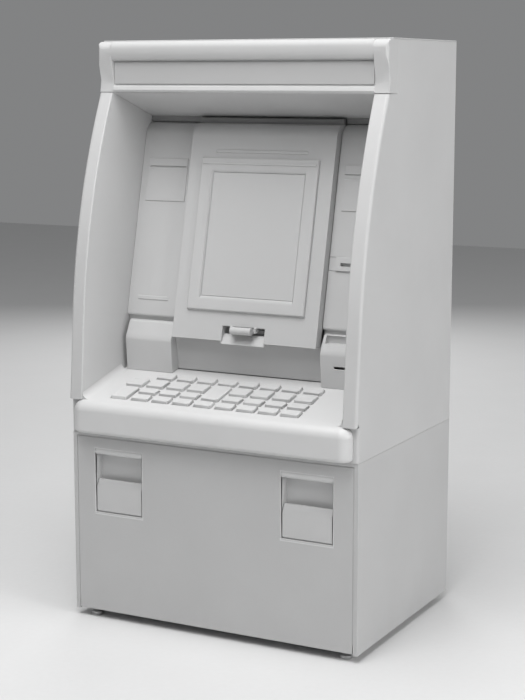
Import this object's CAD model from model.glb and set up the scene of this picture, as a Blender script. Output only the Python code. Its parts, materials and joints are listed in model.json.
"""Looks of the free-standing cash machine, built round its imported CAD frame. Metres, in the row frame."""

import json
import math

import bmesh
import bpy
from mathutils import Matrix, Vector, bvhtree, kdtree


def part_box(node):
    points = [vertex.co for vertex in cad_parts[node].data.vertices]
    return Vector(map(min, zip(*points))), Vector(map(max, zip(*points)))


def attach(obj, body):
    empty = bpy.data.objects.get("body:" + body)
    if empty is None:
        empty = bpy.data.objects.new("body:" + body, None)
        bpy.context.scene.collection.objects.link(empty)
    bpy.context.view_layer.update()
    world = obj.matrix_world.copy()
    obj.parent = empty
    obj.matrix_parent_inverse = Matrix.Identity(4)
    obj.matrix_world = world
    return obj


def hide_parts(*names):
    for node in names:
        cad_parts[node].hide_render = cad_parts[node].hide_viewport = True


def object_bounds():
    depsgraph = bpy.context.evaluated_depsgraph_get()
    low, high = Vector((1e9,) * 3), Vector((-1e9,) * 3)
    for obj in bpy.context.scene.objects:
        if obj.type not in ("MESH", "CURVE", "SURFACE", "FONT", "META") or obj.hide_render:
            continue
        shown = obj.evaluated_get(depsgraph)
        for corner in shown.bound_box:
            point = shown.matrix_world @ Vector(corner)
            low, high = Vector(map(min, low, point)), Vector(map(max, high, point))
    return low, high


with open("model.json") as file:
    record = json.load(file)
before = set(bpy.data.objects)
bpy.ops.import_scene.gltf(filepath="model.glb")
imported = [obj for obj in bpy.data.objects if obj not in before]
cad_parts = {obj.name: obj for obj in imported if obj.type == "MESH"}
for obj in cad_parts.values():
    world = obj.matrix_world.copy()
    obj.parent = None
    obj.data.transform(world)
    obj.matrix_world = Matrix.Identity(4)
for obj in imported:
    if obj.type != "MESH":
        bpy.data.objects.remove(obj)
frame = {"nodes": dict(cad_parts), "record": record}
cad_lo, cad_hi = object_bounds()
nodes = frame["nodes"]
record = frame["record"]
slot_of = {part["node"]: part["material_slot"] for part in record["subparts"]}
body_of = {n: b for b, members in record["behaviour"]["bodies"].items() for n in members}

# ---------------------------------------------------------------- camera, light and floor

AZIMUTH, ELEVATION = math.radians(27.635), math.radians(9.547)
DISTANCE, LENS = 4.174, 83.66
AIM = Vector((0.0057, -0.0058, 0.6883))

scene = bpy.context.scene
scene.view_settings.view_transform = "Standard"
scene.view_settings.look = "None"
ahead = math.cos(ELEVATION)
back = Vector((math.sin(AZIMUTH) * ahead, -math.cos(AZIMUTH) * ahead, math.sin(ELEVATION)))
camera = bpy.data.objects.new("camera", bpy.data.cameras.new("camera"))
camera.data.lens = LENS
camera.data.sensor_width = 36
camera.location = AIM + back * DISTANCE
camera.rotation_euler = (-back).to_track_quat("-Z", "Y").to_euler()
scene.collection.objects.link(camera)
scene.camera = camera


def area_light(name, place, target, size, power):
    light = bpy.data.objects.new(name, bpy.data.lights.new(name, "AREA"))
    light.data.shape = "DISK"
    light.data.size = size
    light.data.energy = power
    light.location = place
    light.rotation_euler = (Vector(target) - Vector(place)).to_track_quat("-Z", "Y").to_euler()
    scene.collection.objects.link(light)


area_light("top_light", (0.0, -0.9, 4.4), (0, 0, 0.6), 3.0, 102)
area_light("front_light", (0.3, -2.4, 4.0), (0, 0, 0.6), 2.6, 66)
area_light("side_light", (4.4, -0.9, 2.0), (0, 0, 0.7), 2.4, 88)
area_light("back_light", (-2.2, 4.2, 2.6), (0, 0, 0.7), 2.6, 60)
world = bpy.data.worlds.new("studio")
world.use_nodes = True
world.node_tree.nodes["Background"].inputs["Color"].default_value = (0.93, 0.94, 0.95, 1)
world.node_tree.nodes["Background"].inputs["Strength"].default_value = 0.24
scene.world = world

# ---------------------------------------------------------------- materials


def link(tree, a, b):
    tree.links.new(a, b)


def noise(tree, coords, scale, detail, stretch=None):
    node = tree.nodes.new("ShaderNodeTexNoise")
    node.inputs["Scale"].default_value = scale
    node.inputs["Detail"].default_value = detail
    if stretch:
        mapping = tree.nodes.new("ShaderNodeMapping")
        mapping.inputs["Scale"].default_value = stretch
        link(tree, coords, mapping.inputs["Vector"])
        coords = mapping.outputs["Vector"]
    link(tree, coords, node.inputs["Vector"])
    return node.outputs["Fac"]


def remap(tree, value, low, high, to_low, to_high):
    node = tree.nodes.new("ShaderNodeMapRange")
    for name, number in (("From Min", low), ("From Max", high), ("To Min", to_low), ("To Max", to_high)):
        node.inputs[name].default_value = number
    link(tree, value, node.inputs["Value"])
    return node.outputs["Result"]


def mix_colour(tree, factor, a, b):
    node = tree.nodes.new("ShaderNodeMix")
    node.data_type = "RGBA"
    for socket, value in (("A", a), ("B", b)):
        sockets = [s for s in node.inputs if s.name == socket and s.type == "RGBA"]
        if isinstance(value, bpy.types.NodeSocket):
            link(tree, value, sockets[0])
        else:
            sockets[0].default_value = (*value, 1)
    link(tree, factor, node.inputs["Factor"])
    return next(s for s in node.outputs if s.type == "RGBA")


def smoothed(tree, axes, roughness, worn):
    """Takes some roughness off where hands rest: all of it before one Y, less and less up to another."""
    start, end, most = worn
    near = remap(tree, axes.outputs["Y"], start, end, 1, 0)
    product = tree.nodes.new("ShaderNodeMath")
    product.operation = "MULTIPLY_ADD"
    product.inputs[1].default_value = -most
    link(tree, near, product.inputs[0])
    link(tree, roughness, product.inputs[2])
    return product.outputs[0]


def dusted(tree, coords, axes, colour, tone):
    """Adds faint scuffs and dust just above the floor."""
    low = remap(tree, axes.outputs["Z"], 0.02, 0.16, 1, 0)
    streaks = noise(tree, coords, 26.0, 6, (1, 1, 0.35))
    both = tree.nodes.new("ShaderNodeMath")
    both.operation = "MULTIPLY"
    link(tree, low, both.inputs[0])
    link(tree, remap(tree, streaks, 0.45, 0.75, 0, 0.18), both.inputs[1])
    return mix_colour(tree, both.outputs[0], colour, tuple(c * 0.85 for c in tone))


# how deep the fine grain of every surface is
GRAIN_DEPTH = 0.0002


def surface(name, tone, rough, metallic=0.0, grain=900.0, relief=0.1, mottle=0.03, stretch=None, coat=0.0,
            worn=None, dusty=False):
    """A painted, moulded or metal surface: grain in bump and roughness, broad mottling, wear and dust."""
    material = bpy.data.materials.new(name)
    material.use_nodes = True
    tree = material.node_tree
    shader = tree.nodes["Principled BSDF"]
    shader.inputs["Metallic"].default_value = metallic
    shader.inputs["Coat Weight"].default_value = coat
    shader.inputs["Coat Roughness"].default_value = 0.35
    coords = tree.nodes.new("ShaderNodeTexCoord").outputs["Object"]
    fine = noise(tree, coords, grain, 3, stretch)
    broad = noise(tree, coords, 5.0, 5)
    light = tuple(min(1.0, c * (1 + mottle)) for c in tone)
    dark = tuple(c * (1 - mottle) for c in tone)
    colour = mix_colour(tree, remap(tree, broad, 0.3, 0.7, 0, 1), dark, light)
    darker = tuple(c * (1 - mottle) for c in dark)
    speck = mix_colour(tree, remap(tree, fine, 0.35, 0.65, 0, 0.5), colour, darker)
    roughness = remap(tree, fine, 0.3, 0.7, rough - 0.05, rough + 0.05)
    if worn or dusty:
        axes = tree.nodes.new("ShaderNodeSeparateXYZ")
        link(tree, coords, axes.inputs["Vector"])
    if worn:
        roughness = smoothed(tree, axes, roughness, worn)
    if dusty:
        speck = dusted(tree, coords, axes, speck, tone)
    link(tree, speck, shader.inputs["Base Color"])
    link(tree, roughness, shader.inputs["Roughness"])
    bump = tree.nodes.new("ShaderNodeBump")
    bump.inputs["Strength"].default_value = relief
    bump.inputs["Distance"].default_value = GRAIN_DEPTH
    link(tree, fine, bump.inputs["Height"])
    link(tree, bump.outputs["Normal"], shader.inputs["Normal"])
    return material


def grey(level):
    return (level, level, level)


MATERIALS = {
    "cabinet_paint": surface("powder_coat", grey(0.52), 0.58, grain=1100, relief=0.25, dusty=True),
    "moulded_shell": surface("moulded_shell", grey(0.56), 0.62, grain=1400, relief=0.3),
    "fascia_plastic": surface("fascia_plastic", grey(0.56), 0.5, grain=1700, relief=0.2, mottle=0.02),
    "shelf_plastic": surface("shelf_plastic", grey(0.63), 0.55, grain=1500, relief=0.3,
                             worn=(-0.31, -0.2, 0.12)),
    "key_plastic": surface("key_plastic", grey(0.62), 0.42, grain=2400, relief=0.12, mottle=0.015),
    "sign_plastic": surface("opal_acrylic", grey(0.5), 0.4, grain=700, relief=0.05, mottle=0.015, coat=0.1),
    "latch_plastic": surface("latch_plastic", grey(0.56), 0.45, grain=1900, relief=0.18),
    "screen_glass": surface("frosted_glass", grey(0.57), 0.36, grain=2600, relief=0.06, mottle=0.01,
                            coat=0.15),
    "zinc_steel": surface("zinc_plate", grey(0.6), 0.38, metallic=0.9, grain=300, stretch=(1, 1, 6)),
    "module_metal": surface("bare_sheet", grey(0.52), 0.4, metallic=0.85, grain=420, relief=0.12,
                            stretch=(8, 1, 1)),
    "module_plastic": surface("module_plastic", grey(0.16), 0.5, grain=1300, relief=0.25),
}
SEAL_RUBBER = surface("seal_rubber", grey(0.27), 0.7, grain=800, relief=0.2)
DISH = surface("dish_plastic", grey(0.66), 0.45, grain=1900, relief=0.18)

# ---------------------------------------------------------------- mesh helpers

# how Blender's weighted normals store the strength of a face
STRONG = 16384
WEIGHT_LAYER = "__mod_weightednormals_faceweight"
SMOOTH_UP_TO = math.radians(50)
# how many widths a rounding may reach from its corner, and how far it may leave the shape
REACH, DRIFT = 3, 0.45


def copy_of(node, whole=False):
    """The node's shape, welded and evenly cut into triangles, or with its flat faces left whole."""
    bm = bmesh.new()
    bm.from_mesh(nodes[node].data)
    bmesh.ops.remove_doubles(bm, verts=bm.verts[:], dist=4e-6)
    bmesh.ops.dissolve_degenerate(bm, edges=bm.edges[:], dist=2e-6)
    bmesh.ops.dissolve_limit(bm, angle_limit=math.radians(0.3), verts=bm.verts[:], edges=bm.edges[:])
    if not whole:
        bmesh.ops.triangulate(bm, faces=[f for f in bm.faces if len(f.verts) > 4], ngon_method="BEAUTY")
    # the node's own faces set the shading, and the roundings added later follow them
    weight = bm.faces.layers.int.new(WEIGHT_LAYER)
    for face in bm.faces:
        face[weight] = STRONG
    return bm


def ends(points):
    """The lowest and the highest corner of the points' box."""
    return [[pick(p[i] for p in points) for i in range(3)] for pick in (min, max)]


def soften(bm, width, segments, chosen, sharper_than=30):
    """Rounds those of the sharp edges that are chosen, by their middle point or by the edge itself."""
    edges = []
    for edge in bm.edges:
        if len(edge.link_faces) != 2 or edge.calc_face_angle(0) < math.radians(sharper_than):
            continue
        if chosen((edge.verts[0].co + edge.verts[1].co) / 2, edge):
            edges.append(edge)
    if not edges:
        return
    corners = kdtree.KDTree(len(bm.verts))
    for i, vert in enumerate(bm.verts):
        corners.insert(vert.co, i)
    corners.balance()
    shape = bvhtree.BVHTree.FromBMesh(bm)
    low, high = ends([v.co for v in bm.verts])
    weight = bm.faces.layers.int[WEIGHT_LAYER]
    home = bm.faces.layers.int.get("home") or bm.faces.layers.int.new("home")
    planes = []
    for face in bm.faces:
        face[home] = len(planes)
        planes.append((face.verts[0].co.copy(), face.normal.copy()))
    bmesh.ops.bevel(bm, geom=edges, offset=width, segments=segments, profile=0.5, affect="EDGES",
                    offset_type="OFFSET", clamp_overlap=False, face_strength_mode="NEW")
    # where two edges meet almost in line the rounding would run far along them, so it is held near its corner
    for vert in bm.verts:
        corner, _, far = corners.find(vert.co)
        if far > REACH * width:
            vert.co = corner.lerp(vert.co, width / far)
        place, _, _, gap = shape.find_nearest(vert.co)
        if gap > DRIFT * width:
            vert.co = place
        # what is left of the node's own faces stays in their planes
        for face in list(vert.link_faces) * 3:
            if face[weight] == STRONG:
                point, normal = planes[face[home]]
                vert.co -= normal * (vert.co - point).dot(normal)
        vert.co = [min(max(c, a), b) for c, a, b in zip(vert.co, low, high)]


def add_piece(name, bm, body, slot, replaces=(), material=None):
    """Makes an object of a finished shape, with its shading, its material and the body it rides on."""
    mesh = bpy.data.meshes.new(name)
    if "home" in bm.faces.layers.int:
        bm.faces.layers.int.remove(bm.faces.layers.int["home"])
    for face in bm.faces:
        face.smooth = True
    for edge in bm.edges:
        edge.smooth = edge.calc_face_angle(math.pi) < SMOOTH_UP_TO
    bm.to_mesh(mesh)
    bm.free()
    piece = bpy.data.objects.new(name, mesh)
    scene.collection.objects.link(piece)
    weighted = piece.modifiers.new("normals", "WEIGHTED_NORMAL")
    weighted.keep_sharp = True
    weighted.use_face_influence = WEIGHT_LAYER in mesh.attributes
    mesh.materials.append(material or MATERIALS[slot])
    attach(piece, body)
    if replaces:
        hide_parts(*replaces)


def add_loop(bm, outline, axis, at):
    """Adds an outline's 2-D points as vertices, all at one place along an axis (0 is X, 1 is Y, 2 is Z)."""
    loop = []
    for point in outline:
        place = list(point)
        place.insert(axis, at)
        loop.append(bm.verts.new(place))
    return loop


def join_loops(bm, one, two):
    """Adds the faces between two loops with the same number of vertices."""
    for i in range(len(one)):
        j = (i + 1) % len(one)
        bm.faces.new((one[i], one[j], two[j], two[i]))


def add_prism(name, outline, axis, start, end, body, slot, material=None):
    """Adds a piece with one outline all along an axis."""
    bm = bmesh.new()
    near, far = [add_loop(bm, outline, axis, at) for at in (start, end)]
    join_loops(bm, near, far)
    bm.faces.new(near)
    bm.faces.new(far[::-1])
    bmesh.ops.recalc_face_normals(bm, faces=bm.faces[:])
    add_piece(name, bm, body, slot, material=material)


def add_frame(name, outer, inner, axis, start, end, body, slot):
    """Adds a piece between an outer and an inner outline, along an axis."""
    bm = bmesh.new()
    loops = [add_loop(bm, outline, axis, at) for at in (start, end) for outline in (outer, inner)]
    for one, two in ((0, 1), (1, 3), (3, 2), (2, 0)):
        join_loops(bm, loops[one], loops[two])
    bmesh.ops.recalc_face_normals(bm, faces=bm.faces[:])
    add_piece(name, bm, body, slot)


def rectangle(low, high):
    return [(low[0], low[1]), (high[0], low[1]), (high[0], high[1]), (low[0], high[1])]


def rounded(low, high, radius):
    """The outline of a rectangle with rounded corners."""
    left, foot = low[0] + radius, low[1] + radius
    right, head = high[0] - radius, high[1] - radius
    points = []
    for quarter, (x, y) in enumerate(((right, head), (left, head), (left, foot), (right, foot))):
        for step in range(4):
            angle = math.radians(90 * quarter + 30 * step)
            points.append((x + radius * math.cos(angle), y + radius * math.sin(angle)))
    return points


# ---------------------------------------------------------------- every CAD node, with its edges rounded

SOFT_EDGE = {
    "safe_cabinet": 0.0012, "levelling_feet": 0.0008, "front_door": 0.0009, "latch_dishes": 0.001,
    "latch_paddle_left": 0.0009, "latch_paddle_right": 0.0009, "hinge_pins": 0.0005, "cash_dispenser": 0.0007,
    "cash_cassettes": 0.0015, "side_panel_left": 0.0013, "side_panel_right": 0.0013, "rear_door": 0.0007,
    "top_cover": 0.001, "hood": 0.0012, "header_sign": 0.0008, "fascia_left": 0.001, "fascia_right": 0.001,
    "screen_door": 0.0012, "screen_glass": 0.0008, "display_unit": 0.001, "cash_gate": 0.0012,
    "lower_fascia": 0.001, "keyboard_shelf": 0.0007, "card_reader": 0.001, "receipt_printer": 0.001,
    "controller_unit": 0.0007, "cover_screws": 0.0002,
}
panel_lo, panel_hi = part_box("side_panel_right")
safe_lo, safe_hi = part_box("safe_cabinet")
# how close to a plane an edge counts as lying on it
NEAR = 0.001


def on_front(edge, outer):
    """Whether a side panel's edge runs up its curved front, on its outer or on its inner side."""
    a, b = edge.verts[0].co, edge.verts[1].co
    runs_up = abs(a.z - b.z) > abs(a.y - b.y) and abs(a.x - b.x) < NEAR and (a.y + b.y) / 2 < -0.1
    return runs_up and (abs(a.x) > panel_hi.x - NEAR) == outer


# the screen door leans back, and the edges of its raised frame lie beyond these distances from the
# window's middle, sideways and up the lean
LEAN = math.radians(12.8)
FRAME_SIDE, FRAME_END = 0.1645, 0.193
face_out = Vector((0, -math.cos(LEAN), math.sin(LEAN)))
up_face = Vector((0, face_out.z, -face_out.y))
door_face = max(v.co.dot(face_out) for v in nodes["screen_door"].data.vertices)
frame_middle = sum(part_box("screen_glass"), Vector()) / 2
hood_joint = panel_lo.z + 0.851


def on_screen_frame(p):
    """Whether a point lies on an outer edge of the raised frame round the screen."""
    on_face = p.dot(face_out) > door_face - 0.0006
    return on_face and (abs(p.x) > FRAME_SIDE or abs(up_face.dot(p - frame_middle)) > FRAME_END)


def in_hood_joint(p):
    """Whether a point lies in the close joint between the hood's end caps and the side panels."""
    return abs(p.z - hood_joint) < 0.0015 and abs(p.x) > panel_lo.x - NEAR and p.y < panel_hi.y - 0.3


panel_front = [(0.008, 4, lambda p, e: on_front(e, True)), (0.0035, 3, lambda p, e: on_front(e, False))]
# edges that get a wider rounding than the rest: width, segments, choice
FIRST = {
    "screen_door": [(0.004, 3, lambda p, e: on_screen_frame(p))],
    "side_panel_left": panel_front,
    "side_panel_right": panel_front,
    "safe_cabinet": [(0.004, 3, lambda p, e: p.z > safe_hi.z - NEAR and p.y < safe_lo.y + NEAR)],
}
for node in sorted(nodes):
    if node.startswith("key_"):
        continue
    bm = copy_of(node)
    for width, segments, chosen in FIRST.get(node, []):
        soften(bm, width, segments, chosen)
    soften(bm, SOFT_EDGE[node], 2, lambda p, e: not in_hood_joint(p), sharper_than=40)
    own = DISH if node == "latch_dishes" else None
    add_piece(node + "_finished", bm, body_of[node], slot_of[node], [node], own)

# ---------------------------------------------------------------- keys: tapered caps with a shallow dish


def shrink(verts, up_slope, margin):
    """Draws a key's outline in by a margin, across and along the slope, about its middle."""
    for axis in (Vector((1, 0, 0)), up_slope):
        reach = [v.co.dot(axis) for v in verts]
        middle, half = (max(reach) + min(reach)) / 2, (max(reach) - min(reach)) / 2
        for vert, at in zip(verts, reach):
            vert.co -= axis * (at - middle) * margin / half


press = Vector(next(j["axis"] for j in record["behaviour"]["joints"] if j["name"] == "key_enter_press"))
out = -press.normalized()
along = Vector((0, out.z, -out.y))
TAPER, CAP_HEIGHT, KEY_ROUNDING = 0.0025, 0.0068, 0.0013
RIM, DISH_SLOPE, DISH_DEPTH = 0.003, 0.003, 0.0006
for node in sorted(n for n in nodes if n.startswith("key_")):
    bm = copy_of(node, whole=True)
    top = max(v.co.dot(out) for v in bm.verts)
    bmesh.ops.bisect_plane(bm, geom=bm.verts[:] + bm.edges[:] + bm.faces[:],
                           plane_co=out * (top - CAP_HEIGHT), plane_no=out)
    shrink([v for v in bm.verts if v.co.dot(out) > top - 0.0005], along, TAPER)
    soften(bm, KEY_ROUNDING, 3, lambda p, e: p.dot(out) > top - 0.0005)
    cap = max((f for f in bm.faces if f.normal.dot(out) > 0.999
               and f.calc_center_median().dot(out) > top - 0.0002), key=lambda f: f.calc_area())
    for margin, drop in ((RIM, 0), (DISH_SLOPE, DISH_DEPTH)):
        cap = bmesh.ops.extrude_discrete_faces(bm, faces=[cap])["faces"][0]
        shrink(cap.verts, along, margin)
        for vert in cap.verts:
            vert.co -= out * drop
    add_piece(node + "_cap", bm, body_of[node], "key_plastic", [node])

# ---------------------------------------------------------------- seals, linings and small fittings

# soft seal round the front door's sides and top, carried in its folded edge
door_lo, door_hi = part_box("front_door")
SEAL_OUT, SEAL_IN = 0.0012, 0.0003
SEAL_FRONT, SEAL_BACK = door_lo.y + 0.0014, door_lo.y + 0.009
seal_foot = door_lo.z + 0.02


def door_arch(by):
    """The door's sides and top, moved out by a margin."""
    left, right, head = door_lo.x - by, door_hi.x + by, door_hi.z + by
    return [(left, seal_foot), (left, head), (right, head), (right, seal_foot)]


add_prism("door_seal", door_arch(-SEAL_IN) + door_arch(SEAL_OUT)[::-1], 1, SEAL_FRONT, SEAL_BACK,
          "front_door", "latch_plastic")

# at each latch dish, a lip that fills the joint round it and a sill in front of the paddle's lower edge
DISH_HALF, DISH_FOOT, DISH_HEAD = 0.072, 0.254, 0.43
LIP_OUT, LIP_IN = 0.0002, 0.0008
LIP_FRONT, LIP_BACK = door_lo.y + 0.0003, door_lo.y + 0.002
SILL_HALF, SILL_FOOT = 0.0683, 0.2572
SILL_OUTLINE = ((0.0004, 0), (0.006, 0), (0.006, 0.0012), (0.001, 0.0016), (0.001, 0.0046), (0.0006, 0.005),
                (0.0001, 0.0046), (0, 0.0006))
sill_front = door_lo.y + 0.0001
sill_outline = [(sill_front + y, door_lo.z + SILL_FOOT + z) for y, z in SILL_OUTLINE]
dish_foot, dish_head = door_lo.z + DISH_FOOT, door_lo.z + DISH_HEAD
dish_middle = {name: sum(corner.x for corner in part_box("latch_paddle_" + name)) / 2
               for name in ("left", "right")}
for name, middle in dish_middle.items():
    left, right = middle - DISH_HALF, middle + DISH_HALF
    outer, inner = [rectangle((left - by, dish_foot - by), (right + by, dish_head + by))
                    for by in (LIP_OUT, -LIP_IN)]
    add_frame("dish_lip_" + name, outer, inner, 1, LIP_FRONT, LIP_BACK, "front_door", "latch_plastic")
for name, middle in dish_middle.items():
    add_prism("dish_sill_" + name, sill_outline, 0, middle - SILL_HALF, middle + SILL_HALF,
              "front_door", "latch_plastic")

# bead set in the groove over the screen window
BEAD_UP, BEAD_END = 0.1811, 0.1607
BEAD_HALF, BEAD_PROUD = 0.003, 0.0019
GROOVE_HALF, GROOVE_DEPTH = 0.0023, 0.0018
bead_foot = frame_middle + face_out * (door_face - frame_middle.dot(face_out)) + up_face * BEAD_UP


def on_frame(up, proud):
    """A place across the bead as (y, z), from its height on the frame and how far it stands proud."""
    place = bead_foot + up_face * up + face_out * proud
    return (place.y, place.z)


turns = [math.pi * i / 10 for i in range(11)]
dome = [(BEAD_HALF * math.cos(a), 0.0001 + BEAD_PROUD * math.sin(a)) for a in turns]
groove = [(-GROOVE_HALF, 0), (-GROOVE_HALF, -GROOVE_DEPTH), (GROOVE_HALF, -GROOVE_DEPTH), (GROOVE_HALF, 0)]
add_prism("frame_bead", [on_frame(*place) for place in groove + dome], 0, -BEAD_END, BEAD_END,
          "screen_door", "fascia_plastic")

# rubber seals that close the wedge between the hood's underside and the tops of the columns and the door
hood_shape = bmesh.new()
hood_shape.from_mesh(nodes["hood"].data)
hood_tree = bvhtree.BVHTree.FromBMesh(hood_shape)
hood_shape.free()


def soffit(y):
    """A place just under the hood's sloping underside, as (y, z)."""
    hit = hood_tree.ray_cast(Vector((0.3, y, 1.2)), Vector((0, 0, 1)))[0]
    return (y, hit.z - 0.0002)


column_lo, column_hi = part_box("fascia_left")
top = column_hi.z
WEDGE_FRONT, WEDGE_BACK = 0.066, 0.104
wedge = [(WEDGE_BACK, top + 0.0002), (WEDGE_FRONT + 0.006, top + 0.0002), (WEDGE_FRONT + 0.001, top + 0.001),
         (WEDGE_FRONT - 0.001, top + 0.004), (WEDGE_FRONT, top + 0.01), soffit(WEDGE_FRONT + 0.0005),
         soffit(WEDGE_BACK)]
for name, side in (("left", -1), ("right", 1)):
    add_prism("column_seal_" + name, wedge, 0, side * abs(column_lo.x), side * abs(column_hi.x),
              "machine", "fascia_plastic", SEAL_RUBBER)
BULB_Y, BULB_HALF, BULB_RISE, BULB_END = 0.056, 0.006, 0.0055, 0.2045
turns = [math.radians(d) for d in range(0, 181, 20)]
bulb = [(BULB_Y + BULB_HALF * math.cos(a), top + 0.009 + BULB_RISE * math.sin(a)) for a in turns]
root = [(BULB_Y - BULB_HALF, top + 0.0001), (BULB_Y + BULB_HALF, top + 0.0001)]
add_prism("door_top_seal", root + bulb, 0, -BULB_END, BULB_END, "screen_door", "fascia_plastic", SEAL_RUBBER)

# guide that slopes from the front of the note pocket up to the gate
GUIDE_HALF = 0.0599
GUIDE_OUTLINE = ((0.0008, 0.0028), (0.019, 0.0134), (0.019, 0.0252), (0.0181, 0.0256), (0.017, 0.025),
                 (0.0018, 0.0044))
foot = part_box("screen_door")[0]
add_prism("note_guide", [(foot.y + y, foot.z + z) for y, z in GUIDE_OUTLINE], 0, -GUIDE_HALF, GUIDE_HALF,
          "screen_door", "fascia_plastic")

# pale flaps: behind the receipt slot, and over the note exit behind the gate
FLAP_LOW, FLAP_HIGH = (0.2405, 0.919), (0.3295, 0.9268)
FLAP_FRONT, FLAP_BACK = -0.0309, -0.0301
add_prism("receipt_flap", rounded(FLAP_LOW, FLAP_HIGH, 0.0015), 1, FLAP_FRONT, FLAP_BACK,
          "machine", "latch_plastic")
EXIT_HALF, EXIT_SET_BACK, EXIT_THICK = 0.0445, 0.0195, 0.002
gate_lo, gate_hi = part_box("cash_gate")
exit_outline = rounded((-EXIT_HALF, gate_lo.z - 0.003), (EXIT_HALF, gate_lo.z + 0.0085), 0.002)
exit_front = gate_hi.y + EXIT_SET_BACK
add_prism("exit_flap", exit_outline, 1, exit_front, exit_front + EXIT_THICK, "screen_door", "latch_plastic")

# ---------------------------------------------------------------- floor

bm = bmesh.new()
bmesh.ops.create_grid(bm, x_segments=1, y_segments=1, size=9)
floor_mesh = bpy.data.meshes.new("floor")
bm.to_mesh(floor_mesh)
bm.free()
floor = bpy.data.objects.new("floor", floor_mesh)
floor.location.z = cad_lo.z
scene.collection.objects.link(floor)
floor_mesh.materials.append(surface("floor_paper", grey(0.7), 0.9, grain=60, relief=0.02, mottle=0.01))
